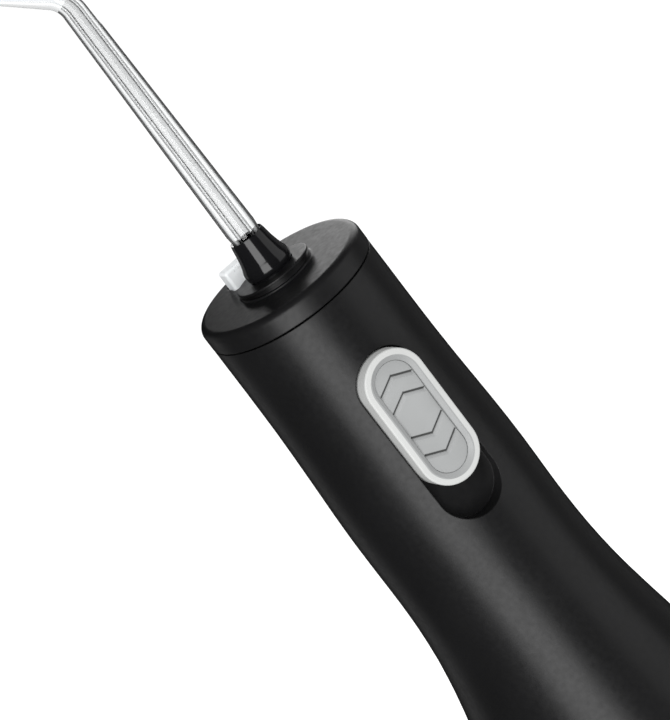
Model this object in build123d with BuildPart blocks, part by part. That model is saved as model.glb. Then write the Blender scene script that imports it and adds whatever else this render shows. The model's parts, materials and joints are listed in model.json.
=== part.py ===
"""Cordless water flosser: a slim battery handle that stands on a lift-off water tank.

Frame: +Z up, the origin on the floor under the jet tip's axis, -Y the side with the slide switch.
All sizes are in millimetres. The tank stands on the floor and the handle lifts off it. The switch,
eject button, latch button, knob, jet tip, battery door and pump drive move in the handle.
"""

from build123d import *

import os
from math import atan, cos, degrees, radians, sin, sqrt

os.makedirs("parts", exist_ok=True)

# ---------------------------------------------------------------- driving dimensions
SPLIT_Z = 80.0  # the handle's lower edge
SPLIT_GAP = 0.3  # open seam between the handle and the tank
WALL = 1.8  # handle shell
TANK_WALL = 2.0
TANK_FOOT_Z = 0.4  # the tank's rim clears the floor, and its rubber pad stands on it
SEAM_ROUND = 0.35

HEAD_R = 18.0  # the round top of the handle
CAP_TOP_Z = 206.0  # top face of the cap, on the axis
CAP_H = 4.6  # the cap's side, above its seam
CAP_TILT = 4.0  # the cap slopes down towards the front, in degrees
CAP_ROUND = 1.6
CAP_SKIN = 2.0
CAP_SEAM_GAP = 0.25

# The oval body, from bottom to top: height, half width, front reach, back reach
TANK_STATIONS = (
    (0.0, 24.7, 25.1, 34.5),
    (20.0, 25.6, 26.1, 35.6),
    (40.0, 26.0, 26.5, 36.1),
    (60.0, 26.1, 26.6, 36.2),
    (80.0, 26.0, 26.5, 36.0),
)
HANDLE_STATIONS = (
    (80.0, 26.0, 26.5, 36.0),
    (92.0, 25.2, 25.6, 33.2),
    (104.5, 23.1, 23.3, 28.7),
    (117.0, 20.8, 21.0, 24.5),
    (130.0, 19.4, 19.5, 21.6),
    (143.5, 19.15, 19.1, 20.4),
    (157.0, 19.1, 18.9, 19.8),
    (170.0, 18.55, 18.35, 18.95),
    (183.0, 18.12, 18.05, 18.25),
    (196.0, HEAD_R, HEAD_R, HEAD_R + 0.02),
    (209.0, HEAD_R, HEAD_R, HEAD_R + 0.02),
)

# Slide switch, in its upper (on) position, and the channel that it runs in
SWITCH_L = 29.75
SWITCH_W = 13.1
SWITCH_TOP_Z = 187.2
SWITCH_RIM = 1.2  # flat band round the face
SWITCH_SLOPE_W = 1.1  # and the slope inside it, down to the pad
SWITCH_SLOPE_DEPTH = 0.8
SWITCH_FACE_Y = 20.7  # the switch face stands this far in front of the axis
SWITCH_FACE_R = 60.0
SWITCH_TRAVEL = 8.0
SWITCH_FLOOR_Y = 17.4  # floor of the pad's recess in the switch frame
SWITCH_Z = SWITCH_TOP_Z - SWITCH_L / 2
PAD_DROP = 0.85  # the pad's face lies this far below the rim
PAD_W = SWITCH_W - 2 * (SWITCH_RIM + SWITCH_SLOPE_W)
PAD_L = SWITCH_L - 2 * (SWITCH_RIM + SWITCH_SLOPE_W)
CHANNEL_GAP = 0.4
CHANNEL_FLOOR_Y = 15.0
CHANNEL_BACK_Y = 13.6  # inner face of the channel's floor
CHANNEL_L = SWITCH_L + SWITCH_TRAVEL + 2 * CHANNEL_GAP
CHANNEL_Z = SWITCH_TOP_Z + CHANNEL_GAP - CHANNEL_L / 2
CHANNEL_W = SWITCH_W + 0.7

# Jet tip, knob and sleeve on the main axis
TIP_BOTTOM_Z = 194.0
TIP_TOP_Z = 269.0  # where the straight tube ends and the bend starts
TIP_BASE_R = 3.0
TIP_BEND_R = 2.45
TIP_END_R = 1.15
TIP_BORE_R = 0.95
TIP_JET_R = 0.45
BEND_RADIUS = 5.5
BEND_ANGLE = 60.0
NOZZLE_L = 10.1
NOZZLE_HEADING = 136.0  # degrees from +X towards +Y
BOSS_R = 8.0
BOSS_TOP_Z = 207.5
BOSS_LIP_H = 0.5
BOSS_NECK_R = 7.35
BOSS_FLANGE_H = 0.4
KNOB_FOOT_Z = 207.65
KNOB_TOP_Z = 215.8
KNOB_BORE_R = 3.12
SLEEVE_R = 4.6
SLEEVE_TOP_Z = 203.0
SLEEVE_GAP = 0.15
EJECT_Y = 11.2

# Pump drive
MOTOR_Y = 7.0
MOTOR_R = 9.5
MOTOR_BOTTOM_Z = 138.5
DRIVE_PLATE_Z = 160.5
DRIVE_PLATE_T = 2.0
GEAR_MODULE = 0.5
PINION_TEETH = 12
GEAR_TEETH = 28
GEAR_BACKLASH = 0.1
CENTRE_DISTANCE = GEAR_MODULE * (PINION_TEETH + GEAR_TEETH) / 2
GEAR_Y = MOTOR_Y - CENTRE_DISTANCE
GEAR_BOTTOM_Z = 163.0
GEAR_TOP_Z = 166.5
SWASH_R = 5.2
SWASH_SLOPE = 0.5  # rise of the swash face for each unit along Y
SWASH_MID_Z = 169.3  # the swash face's height on the gear's axis
FOOT_R = 2.0  # ball foot of the plunger
PLUNGER_R = 4.0
PLUNGER_TOP_Z = 187.0
PUMP_BOTTOM_Z = 181.0
PUMP_TOP_Z = 190.5
PUMP_FLANGE_Z = 184.0
INLET_Z = 188.2
POSTS = ((-10.5, -6.5), (10.5, -6.5), (-10.5, 8.0), (10.5, 8.0))

# Batteries: three AA cells
CELL_R = 7.1
CELL_RING_R = 8.7
CELL_BOTTOM_Z = 83.2
CELL_TOP_Z = 132.0
NUB_TOP_Z = 133.0
CELL_ANGLES = (90, 210, 330)
HOLDER_R = 8.0
HOLDER_TOP_Z = 134.6

# Bottom of the handle
BULKHEAD_T = 3.0
SKIRT_BOTTOM_Z = 71.5
DOOR_R = 18.1
SCREWS = ((0.0, -20.1, -1), (-10.5, 25.5, 1), (10.5, 25.5, 1))  # x, y and the rib's direction
LATCH_Z = 88.0

# Tank fittings
DECK_Z = 66.0
DECK_T = 2.5
PORT = (-13.0, 18.4)
FILL_W = 27.0
FILL_BOTTOM_Z = 33.0
FILL_TOP_Z = 56.0
HINGE_Y = 38.6
HINGE_Z = 60.5
HINGE_PIN_R = 0.8
HOSE_X = -13.9  # the inlet hose runs up the left of the motor

cap_normal = (0, -sin(radians(CAP_TILT)), cos(radians(CAP_TILT)))
cap_seam = Plane(origin=(0, 0, CAP_TOP_Z - CAP_H), x_dir=(1, 0, 0), z_dir=cap_normal)
cap_top = Plane(origin=(0, 0, CAP_TOP_Z), x_dir=(1, 0, 0), z_dir=cap_normal)


# ---------------------------------------------------------------- shared shapes
def oval(stations, inset, low=-1.0, high=300.0):
    """The oval body as one solid between two heights, its sections drawn in by inset."""
    with BuildPart() as form:
        for z, half_width, front, back in stations:
            with BuildSketch(Plane.XY.offset(z)):
                with Locations((0, (back - front) / 2)):
                    Ellipse(half_width - inset, (front + back) / 2 - inset)
        loft()
        if low > stations[0][0]:
            split(bisect_by=Plane.XY.offset(low), keep=Keep.TOP)
        if high < stations[-1][0]:
            split(bisect_by=Plane.XY.offset(high), keep=Keep.BOTTOM)
    return form.part


def turn(points, x=0.0, y=0.0, mode=Mode.ADD):
    """Turn a (radius, height) profile about the vertical axis through x, y."""
    with BuildSketch(Plane.XZ.offset(-y)) as profile:
        with BuildLine():
            Polyline(*[(x + r, z) for r, z in points], close=True)
        make_face()
    revolve(profile.sketch, axis=Axis((x, y, 0), (0, 0, 1)), mode=mode)


def post(x, y, radius, low, high, mode=Mode.ADD):
    """A vertical round bar, or a hole of that size."""
    with BuildSketch(Plane.XY.offset(low)) as section:
        with Locations((x, y)):
            Circle(radius)
    extrude(section.sketch, amount=high - low, mode=mode)


def tube(points, bends, outer, inner=0.0):
    """A round tube along straight runs joined by tangent arcs."""
    with BuildLine() as route:
        FilletPolyline(*points, radius=bends)
    with BuildSketch(Plane(origin=route.line @ 0, z_dir=route.line % 0)) as section:
        Circle(outer)
        if inner:
            Circle(inner, mode=Mode.SUBTRACT)
    sweep(section.sketch, path=route.line)


def coil(start, direction, length, coil_r, wire_r, turns):
    """A compression spring from its first end face along a direction."""
    rise = length - 2 * wire_r
    foot = Vector(*start) + Vector(*direction) * wire_r
    with BuildLine() as route:
        Helix(pitch=rise / turns, height=rise, radius=coil_r, center=foot, direction=direction)
    with BuildSketch(Plane(origin=route.line @ 0, z_dir=route.line % 0)) as section:
        Circle(wire_r)
    sweep(section.sketch, path=route.line, is_frenet=True)


def gear_outline(teeth, addendum, first_tooth):
    """Face of an involute spur gear of GEAR_MODULE, with one tooth at the angle first_tooth."""
    pitch_r = GEAR_MODULE * teeth / 2
    base_r = pitch_r * cos(radians(20))
    root_r = pitch_r - 1.2 * GEAR_MODULE
    tip_r = pitch_r + addendum * GEAR_MODULE
    half_tooth = 90 / teeth - degrees(GEAR_BACKLASH / 2 / pitch_r)
    start_r = max(base_r, root_r)

    def involute(r):
        """Involute angle in degrees at radius r."""
        roll = sqrt(max(0.0, (r / base_r) ** 2 - 1))
        return degrees(roll - atan(roll))

    def polar(r, angle):
        return (r * cos(radians(angle)), r * sin(radians(angle)))

    def flank(centre, side):
        """Points up one side of a tooth, from the root outwards."""
        radii = [start_r + (tip_r - start_r) * i / 3 for i in range(4)]
        return [polar(r, centre + side * (half_tooth + involute(pitch_r) - involute(r))) for r in radii]

    with BuildSketch() as face:
        with BuildLine():
            for tooth in range(teeth):
                centre = first_tooth + tooth * 360 / teeth
                foot = half_tooth + involute(pitch_r)
                right, left = flank(centre, -1), flank(centre, 1)
                next_right = flank(centre + 360 / teeth, -1)
                gap_start = polar(root_r, centre + foot)
                gap_middle = polar(root_r, centre + 180 / teeth)
                gap_end = polar(root_r, centre + 360 / teeth - foot)
                Spline(*right)
                ThreePointArc(right[-1], polar(tip_r, centre), left[-1])
                Spline(*reversed(left))
                Line(left[0], gap_start)
                ThreePointArc(gap_start, gap_middle, gap_end)
                Line(gap_end, next_right[0])
        make_face()
    return face.sketch


cells = [(CELL_RING_R * cos(radians(a)), CELL_RING_R * sin(radians(a))) for a in CELL_ANGLES]

# ================================================================ water tank (stands on the floor)

# Tank: an oval pot, rounded at the foot, with a filling window in its back wall
with BuildPart() as water_tank:
    add(oval(TANK_STATIONS, 0, TANK_FOOT_Z, SPLIT_Z - SPLIT_GAP))
    fillet(water_tank.edges().group_by(Axis.Z)[0], 3.2)
    fillet(water_tank.edges().group_by(Axis.Z)[-1], SEAM_ROUND)
    add(oval(TANK_STATIONS, TANK_WALL, 2.8), mode=Mode.SUBTRACT)
    with BuildSketch(Plane.XZ.offset(-28)):
        with Locations((0, (FILL_BOTTOM_Z + FILL_TOP_Z) / 2)):
            RectangleRounded(FILL_W, FILL_TOP_Z - FILL_BOTTOM_Z, 4)
    extrude(amount=-12, mode=Mode.SUBTRACT)
    # recess for the foot pad
    with BuildSketch(Plane.XY):
        with Locations((0, 4.7)):
            Ellipse(17, 25)
    extrude(amount=1.25, mode=Mode.SUBTRACT)
    # hinge ears for the filling door
    with BuildSketch(Plane.YZ.offset(6.2)):
        with BuildLine():
            Polyline((33.8, 58.2), (HINGE_Y, 58.6), (HINGE_Y, 62.4), (33.8, 65.0), close=True)
        make_face()
        with Locations((HINGE_Y, HINGE_Z)):
            Circle(1.9)
    ear = extrude(amount=2.4)
    mirror(ear, about=Plane.YZ)
    with BuildSketch(Plane.YZ.offset(-10)):
        with Locations((HINGE_Y, HINGE_Z)):
            Circle(HINGE_PIN_R)
    extrude(amount=20, mode=Mode.SUBTRACT)

# Foot pad: rubber, let into the tank's foot
with BuildPart() as foot_pad:
    with BuildSketch(Plane.XY):
        with Locations((0, 4.7)):
            Ellipse(16.9, 24.9)
    extrude(amount=1.2)

# Deck: the lid welded inside the tank, with the outlet port and a stiffening rib
with BuildPart() as tank_deck:
    add(oval(TANK_STATIONS, TANK_WALL + 0.05, DECK_Z, DECK_Z + DECK_T))
    post(*PORT, 6.4, DECK_Z - 4, DECK_Z)
    post(*PORT, 5.0, DECK_Z - 5, DECK_Z + DECK_T + 1, mode=Mode.SUBTRACT)
    with BuildSketch(Plane.XY.offset(DECK_Z + DECK_T)):
        SlotOverall(22, 3)
    extrude(amount=2.4)

# Port seal: a rubber grommet round the handle's nipple, with a lip on each side of the deck
port_low = DECK_Z - 4
port_top = DECK_Z + DECK_T
grommet_r = 3.05
with BuildPart() as port_seal:
    turn(
        (
            (grommet_r, port_low - 1.2),
            (6.0, port_low - 1.2),
            (6.0, port_low),
            (5.0, port_low),
            (5.0, port_top),
            (6.0, port_top),
            (5.6, port_top + 1.4),
            (grommet_r, port_top + 1.4),
        ),
        *PORT,
    )

# Suction tube: from just under the port seal to near the tank's floor
tube_top = port_low - 1.2
with BuildPart() as suction_tube:
    post(*PORT, 3.2, 9, tube_top)
    post(*PORT, 4.2, tube_top - 4.8, tube_top)
    post(*PORT, 2.2, 8, tube_top + 1, mode=Mode.SUBTRACT)

# Suction filter: a slotted cup on the tube's foot
with BuildPart() as suction_filter:
    turn(
        (
            (0, 3.0),
            (5.0, 3.0),
            (5.0, 9.0),
            (4.2, 12.0),
            (3.2, 12.0),
            (3.2, 9.0),
            (2.6, 9.0),
            (2.6, 4.4),
            (0, 4.4),
        ),
        *PORT,
    )
    with BuildSketch(Plane.XY.offset(5.2)):
        with Locations(PORT):
            with PolarLocations(0, 3, angular_range=180):
                Rectangle(12, 0.9)
    extrude(amount=3.0, mode=Mode.SUBTRACT)

# ---------------------------------------------------------------- filling door, hinged at its top
PANEL_PROUD = 1.7
door_skin = oval(TANK_STATIONS, -PANEL_PROUD) - oval(TANK_STATIONS, -0.3)
plug_skin = oval(TANK_STATIONS, -0.8) - oval(TANK_STATIONS, TANK_WALL + 0.2)
seal_skin = oval(TANK_STATIONS, 0.1) - oval(TANK_STATIONS, 1.5)
plug_w = FILL_W - 2.6
plug_h = FILL_TOP_Z - FILL_BOTTOM_Z - 2.8
plug_z = (FILL_BOTTOM_Z + FILL_TOP_Z) / 2 + 0.3
window_back = Plane.XZ.offset(-28)
with BuildPart(mode=Mode.PRIVATE) as door_panel:
    with BuildSketch(window_back):
        with Locations((0, 42.8)):
            RectangleRounded(FILL_W + 7, 29.6, 6)
    extrude(amount=-14)
    add(door_skin, mode=Mode.INTERSECT)
with BuildPart(mode=Mode.PRIVATE) as door_plug:
    with BuildSketch(window_back):
        with Locations((0, plug_z)):
            RectangleRounded(plug_w, plug_h, 3)
            RectangleRounded(plug_w - 4, plug_h - 4, 1.5, mode=Mode.SUBTRACT)
    extrude(amount=-10)
    add(plug_skin, mode=Mode.INTERSECT)

with BuildPart() as fill_door:
    add(door_panel.part)
    add(door_plug.part)
    # hinge knuckle, reaching up from the panel
    with BuildSketch(Plane.YZ.offset(-5.9)):
        with BuildLine():
            Polyline(
                (36.6, 56.0),
                (37.3, 56.0),
                (HINGE_Y + 1.9, HINGE_Z),
                (HINGE_Y - 1.9, HINGE_Z),
                close=True,
            )
        make_face()
        with Locations((HINGE_Y, HINGE_Z)):
            Circle(1.9)
    extrude(amount=11.8)
    with BuildSketch(Plane.YZ.offset(-10)):
        with Locations((HINGE_Y, HINGE_Z)):
            Circle(HINGE_PIN_R + 0.05)
    extrude(amount=20, mode=Mode.SUBTRACT)
    # thumb lip along the panel's lower edge
    with BuildSketch(Plane.YZ.offset(-6)):
        with BuildLine():
            Polyline((36.6, 28.6), (40.4, 29.2), (40.2, 30.4), (36.6, 31.6), close=True)
        make_face()
    extrude(amount=12)

# Door seal: a rubber band round the plug
with BuildPart() as fill_door_seal:
    with BuildSketch(window_back):
        with Locations((0, plug_z)):
            RectangleRounded(plug_w + 2.0, plug_h + 2.0, 3.8)
            RectangleRounded(plug_w, plug_h, 3, mode=Mode.SUBTRACT)
    extrude(amount=-10)
    add(seal_skin, mode=Mode.INTERSECT)

with BuildPart() as door_hinge_pin:
    with BuildSketch(Plane.YZ.offset(-8.6)):
        with Locations((HINGE_Y, HINGE_Z)):
            Circle(HINGE_PIN_R)
    extrude(amount=17.2)

# ================================================================ handle casing

backing_block = Pos(0, -17, 168) * Box(18, 2 * (17 - CHANNEL_BACK_Y), 45)
backing_block = backing_block & oval(HANDLE_STATIONS, 0.4)
with BuildPart(mode=Mode.PRIVATE) as screw_bosses:
    for x, y, side in SCREWS:
        with BuildSketch(Plane.XY.offset(SPLIT_Z + BULKHEAD_T + 0.2)):
            with Locations((x, y)):
                Circle(3.0)
            with Locations((x, y + 4 * side)):
                Rectangle(2.4, 8)
        extrude(amount=9.5)
    add(oval(HANDLE_STATIONS, 0.6), mode=Mode.INTERSECT)

# Shell: one seamless tube, with the switch channel sunk in its front
with BuildPart() as handle_shell:
    add(oval(HANDLE_STATIONS, 0))
    fillet(handle_shell.edges().group_by(Axis.Z)[0], SEAM_ROUND)
    add(oval(HANDLE_STATIONS, WALL), mode=Mode.SUBTRACT)
    add(backing_block)
    add(screw_bosses.part)
    for x, y, side in SCREWS:
        post(x, y, 1.05, SPLIT_Z + 2, 91.5, mode=Mode.SUBTRACT)
    with BuildSketch(Plane.XZ.offset(CHANNEL_FLOOR_Y)):
        with Locations((0, CHANNEL_Z)):
            SlotOverall(CHANNEL_L, CHANNEL_W, rotation=90)
    extrude(amount=8, mode=Mode.SUBTRACT)
    # slot for the carriage's stem
    with BuildSketch(Plane.XZ.offset(CHANNEL_BACK_Y - 1)):
        with Locations((0, CHANNEL_Z)):
            RectangleRounded(3.4, 15.6, 1.2)
    extrude(amount=4, mode=Mode.SUBTRACT)
    # window for the latch button
    with BuildSketch(window_back):
        with Locations((0, LATCH_Z)):
            SlotOverall(13.0, 7.6)
    extrude(amount=-12, mode=Mode.SUBTRACT)
    split(bisect_by=cap_seam, keep=Keep.BOTTOM)

# Cap: a sloped disc with a rounded shoulder, a plug ring and the raised tip boss
with BuildPart(mode=Mode.PRIVATE) as cap_hollow:
    with BuildSketch(Plane.XY.offset(190)):
        Circle(HEAD_R - 2.2)
    extrude(amount=30)
    split(bisect_by=cap_top.offset(-CAP_SKIN), keep=Keep.BOTTOM)
with BuildPart(mode=Mode.PRIVATE) as boss_neck:
    with BuildSketch(cap_top.offset(BOSS_FLANGE_H)):
        Circle(BOSS_R + 1.5)
    extrude(amount=4)
    split(bisect_by=Plane.XY.offset(BOSS_TOP_Z - BOSS_LIP_H), keep=Keep.BOTTOM)
    post(0, 0, BOSS_NECK_R, CAP_TOP_Z - 4, BOSS_TOP_Z, mode=Mode.SUBTRACT)
with BuildPart() as top_cap:
    with BuildSketch(Plane.XY.offset(190)):
        Circle(HEAD_R)
    extrude(amount=30)
    split(bisect_by=cap_seam.offset(CAP_SEAM_GAP), keep=Keep.TOP)
    split(bisect_by=cap_top, keep=Keep.BOTTOM)
    fillet(top_cap.edges().group_by(Axis.Z)[-1], CAP_ROUND)
    fillet(top_cap.edges().group_by(Axis.Z)[0], 0.2)
    post(0, 0, BOSS_R, CAP_TOP_Z - 2, BOSS_TOP_Z)
    boss_foot = top_cap.edges().filter_by(lambda e: 49 < e.length < 52 and 205 < e.center().Z < 207)
    fillet(boss_foot, 0.3)
    fillet(top_cap.edges().group_by(Axis.Z)[-1], 0.2)
    # the boss stands on a narrower neck, with a low flange at its foot
    add(boss_neck.part, mode=Mode.SUBTRACT)
    add(cap_hollow.part, mode=Mode.SUBTRACT)
    # plug ring that goes down into the shell, with the groove for its seal
    turn(((14.7, 196), (16.1, 196), (16.1, 204), (14.7, 204)))
    turn(((15.2, 197.5), (17.0, 197.5), (17.0, 198.6), (15.2, 198.6)), mode=Mode.SUBTRACT)
    # the boss goes on down inside, as the knob's bearing
    turn(((4.0, 203.0), (7.4, 203.0), (7.4, 205.0), (4.0, 205.0)))
    post(0, 0, SLEEVE_R + SLEEVE_GAP, 190, 220, mode=Mode.SUBTRACT)
    # window for the eject button
    with BuildSketch(Plane.XY.offset(190)):
        with Locations((0, EJECT_Y)):
            RectangleRounded(11.4, 4.6, 0.8)
    extrude(amount=30, mode=Mode.SUBTRACT)

with BuildPart() as cap_seal:
    with BuildSketch(Plane.XZ):
        with Locations((15.67, 198.05)):
            Circle(0.47)
    revolve(axis=Axis.Z)

# Socket: the fixed cup under the cap that the knob's sleeve turns in
with BuildPart() as tip_socket:
    turn(
        (
            (2.35, 190.6),
            (7.2, 190.6),
            (7.2, 200.0),
            (SLEEVE_R + SLEEVE_GAP, 200.0),
            (SLEEVE_R + SLEEVE_GAP, 192.4),
            (2.35, 192.4),
        )
    )
    # shelf for the eject spring
    with BuildSketch(Plane.XY.offset(191.0)):
        with Locations((0, 9.6)):
            Rectangle(9, 7.0)
        Circle(6.0, mode=Mode.SUBTRACT)
    extrude(amount=2.0)
    # two arms out under the cap's plug ring
    with BuildSketch(Plane.XY.offset(193.6)):
        Rectangle(31.6, 5)
        Circle(6.0, mode=Mode.SUBTRACT)
    extrude(amount=2.3)

# Clip: the spring-steel C that grips the tip, with two arms under the eject button
with BuildPart() as tip_clip:
    with BuildSketch(Plane.XY.offset(200.0)):
        Circle(6.3)
        with Locations((-4.0, 5.6), (4.0, 5.6)):
            Rectangle(1.4, 3.6)
        Circle(4.9, mode=Mode.SUBTRACT)
        with Locations((0, 6)):
            Rectangle(4.0, 6, mode=Mode.SUBTRACT)
    extrude(amount=0.8)

# ================================================================ slide switch

# Frame: an obround rim with a slightly curved face
with BuildPart() as switch_frame:
    with BuildSketch(Plane.XZ.offset(CHANNEL_FLOOR_Y + 0.2)):
        with Locations((0, SWITCH_Z)):
            SlotOverall(SWITCH_L, SWITCH_W, rotation=90)
    extrude(amount=8)
    with BuildSketch(Plane.XY.offset(SWITCH_Z - 20)):
        with Locations((0, SWITCH_FACE_R - SWITCH_FACE_Y)):
            Circle(SWITCH_FACE_R)
    extrude(amount=40, mode=Mode.INTERSECT)
    fillet(switch_frame.faces().sort_by(Axis.Y)[0].edges(), 0.35)
    with BuildSketch(Plane.XZ.offset(SWITCH_FLOOR_Y)):
        with Locations((0, SWITCH_Z)):
            SlotOverall(PAD_L, PAD_W, rotation=90)
    extrude(amount=6, mode=Mode.SUBTRACT)
    # slope from the flat band down to the pad
    with BuildSketch(Plane.XZ.offset(SWITCH_FACE_Y - SWITCH_SLOPE_DEPTH)):
        with Locations((0, SWITCH_Z)):
            SlotOverall(PAD_L, PAD_W, rotation=90)
    extrude(
        amount=SWITCH_SLOPE_DEPTH,
        taper=-degrees(atan(SWITCH_SLOPE_W / SWITCH_SLOPE_DEPTH)),
        mode=Mode.SUBTRACT,
    )
    # pocket for the carriage's stem
    with BuildSketch(Plane.XZ.offset(CHANNEL_FLOOR_Y)):
        with Locations((0, SWITCH_Z)):
            Rectangle(2.2, 6.0)
    extrude(amount=1.4, mode=Mode.SUBTRACT)

# Pad: an insert with a dished middle, two arrows up and two down
pad_face_y = SWITCH_FACE_Y - PAD_DROP
dish_r = 60.0
dish_depth = 0.5
arrows = ((10.3, -1.9), (6.2, -1.9), (-3.5, 1.9), (-7.8, 1.9))  # apex height, fall to the ends
arrow_half_w = 3.85
arrow_line = 0.66
with BuildPart() as switch_pad:
    with BuildSketch(Plane.XZ.offset(SWITCH_FLOOR_Y)):
        with Locations((0, SWITCH_Z)):
            SlotOverall(PAD_L - 0.1, PAD_W - 0.1, rotation=90)
    extrude(amount=5)
    with BuildSketch(Plane.XY.offset(SWITCH_Z - 20)):
        with Locations((0, SWITCH_FACE_R - pad_face_y)):
            Circle(SWITCH_FACE_R)
    extrude(amount=40, mode=Mode.INTERSECT)
    with BuildSketch(Plane.YZ.offset(-10)):
        with Locations((-(pad_face_y + dish_r - dish_depth), SWITCH_Z - 1.0)):
            Circle(dish_r)
    extrude(amount=20, mode=Mode.SUBTRACT)
    with BuildSketch(Plane.XZ.offset(pad_face_y - dish_depth - 0.4)):
        for rise, fall in arrows:
            apex = SWITCH_Z + rise
            with BuildLine():
                Polyline(
                    (-arrow_half_w, apex + fall),
                    (0, apex),
                    (arrow_half_w, apex + fall),
                    (arrow_half_w, apex + fall - arrow_line),
                    (0, apex - arrow_line),
                    (-arrow_half_w, apex + fall - arrow_line),
                    close=True,
                )
            make_face()
    extrude(amount=3, mode=Mode.SUBTRACT)

# Carriage: the plate behind the channel that carries the magnet
with BuildPart() as switch_carriage:
    with BuildSketch(Plane.XZ.offset(12.0)):
        with Locations((0, SWITCH_Z)):
            RectangleRounded(10, 11, 1)
    extrude(amount=1.4)
    with BuildSketch(Plane.XZ.offset(12.2)):
        with Locations((0, SWITCH_Z)):
            Rectangle(2.1, 5.9)
    extrude(amount=CHANNEL_FLOOR_Y + 1.3 - 12.2)
    with BuildSketch(Plane.XZ.offset(12.0)):
        with Locations((0, SWITCH_Z - 3.2)):
            Rectangle(5.1, 3.1)
    extrude(amount=1.0, mode=Mode.SUBTRACT)

with BuildPart() as switch_magnet:
    with BuildSketch(Plane.XZ.offset(12.05)):
        with Locations((0, SWITCH_Z - 3.2)):
            Rectangle(5, 3)
    extrude(amount=0.95)

# ================================================================ eject button

flange_z = 203.0
with BuildPart() as eject_button:
    with BuildSketch(Plane.XY.offset(flange_z)):
        with Locations((0, EJECT_Y)):
            RectangleRounded(10.8, 4.0, 0.7)
    extrude(amount=7.5)
    fillet(eject_button.faces().sort_by(Axis.Z)[-1].edges(), 0.6)
    with BuildSketch(Plane.XY.offset(flange_z)):
        with Locations((0, 11.15)):
            RectangleRounded(12.4, 4.3, 0.7)
    extrude(amount=1.4)
    # two toes that spread the clip's arms
    with BuildSketch(Plane.XY.offset(flange_z - 1.8)):
        with Locations((-4.0, 9.1), (4.0, 9.1)):
            Rectangle(1.6, 2.4)
    extrude(amount=1.9)

with BuildPart() as eject_spring:
    coil((0, EJECT_Y, 193.02), (0, 0, 1), flange_z - 193.04, 1.7, 0.25, 6)

# ================================================================ knob, sleeve and jet tip

# Knob: a cone that flares to a rounded foot, with a spigot down through the boss
with BuildPart() as rotation_knob:
    with BuildSketch(Plane.XZ):
        with BuildLine():
            Polyline(
                (3.55, KNOB_TOP_Z),
                (KNOB_BORE_R, KNOB_TOP_Z - 0.1),
                (KNOB_BORE_R, SLEEVE_TOP_Z),
                (SLEEVE_R, SLEEVE_TOP_Z),
                (SLEEVE_R, KNOB_FOOT_Z),
            )
            Spline(
                (SLEEVE_R, KNOB_FOOT_Z),
                (4.95, 208.3),
                (5.03, 209.1),
                (4.86, 210.05),
                (4.55, 210.85),
                (4.28, 211.8),
                (3.98, 213.2),
                (3.68, 215.2),
                (3.55, KNOB_TOP_Z),
            )
        make_face()
    revolve(axis=Axis.Z)

# Sleeve: turns with the knob and guides the tip
with BuildPart() as tip_sleeve:
    turn(
        (
            (KNOB_BORE_R, 192.6),
            (SLEEVE_R, 192.6),
            (SLEEVE_R, SLEEVE_TOP_Z),
            (KNOB_BORE_R, SLEEVE_TOP_Z),
        )
    )

# Ring: snaps on the sleeve under the cap and holds the knob down
with BuildPart() as knob_ring:
    turn(((SLEEVE_R, 201.9), (5.9, 201.9), (5.9, 202.7), (SLEEVE_R, 202.7)))

# Jet tip: a clear tube that narrows upwards, bends over and ends in a fine nozzle
heading = (cos(radians(NOZZLE_HEADING)), sin(radians(NOZZLE_HEADING)), 0)
tip_plane = Plane(origin=(0, 0, 0), x_dir=heading, z_dir=(heading[1], -heading[0], 0))
bend_end_r = TIP_BEND_R - 0.35


def tip_form(base_r, groove_r, bend_start_r, bend_stop_r, end_r, overrun):
    """The tip's solid from its foot to its end, or its bore."""
    with BuildPart() as form:
        turn(
            (
                (0, TIP_BOTTOM_Z - overrun),
                (base_r, TIP_BOTTOM_Z - overrun),
                (base_r, KNOB_TOP_Z),
                (bend_start_r, TIP_TOP_Z),
                (0, TIP_TOP_Z),
            )
        )
        with BuildLine(tip_plane) as bend:
            CenterArc((BEND_RADIUS, TIP_TOP_Z), BEND_RADIUS, 180, -BEND_ANGLE)
        start, stop = bend.line @ 0, bend.line @ 1
        if start.Z > stop.Z:
            start, stop = stop, start
        run = bend.line % 1
        with BuildSketch(Plane(origin=start, z_dir=(0, 0, 1))) as foot_section:
            Circle(bend_start_r)
        with BuildSketch(Plane(origin=stop, z_dir=run)) as bend_section:
            Circle(bend_stop_r)
        sweep([foot_section.sketch, bend_section.sketch], path=bend.line, multisection=True)
        end = stop + run * (NOZZLE_L + overrun)
        with BuildSketch(Plane(origin=stop, z_dir=run)) as nozzle_foot:
            Circle(bend_stop_r)
        with BuildSketch(Plane(origin=end, z_dir=run)) as nozzle_end:
            Circle(end_r)
        loft([nozzle_foot.sketch, nozzle_end.sketch])
        if groove_r:
            for low, high in ((195.0, 196.0), (197.2, 198.8), (199.9, 201.1)):
                turn(((groove_r, low), (5, low), (5, high), (groove_r, high)), mode=Mode.SUBTRACT)
    return form.part


with BuildPart() as jet_tip:
    add(tip_form(TIP_BASE_R, 2.5, TIP_BEND_R, bend_end_r, TIP_END_R, 0))
    add(tip_form(TIP_BORE_R, 0, TIP_BORE_R, TIP_JET_R + 0.3, TIP_JET_R, 1.0), mode=Mode.SUBTRACT)

with BuildPart() as tip_seal:
    with BuildSketch(Plane.XZ):
        with Locations((2.78, 195.5)):
            Circle(0.28)
    revolve(axis=Axis.Z)

# Coloured ring that tells one user's tip from another
with BuildPart() as tip_ring:
    turn(((2.5, 197.2), (3.04, 197.2), (3.04, 198.8), (2.5, 198.8)))

# ================================================================ pump and its drive

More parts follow.
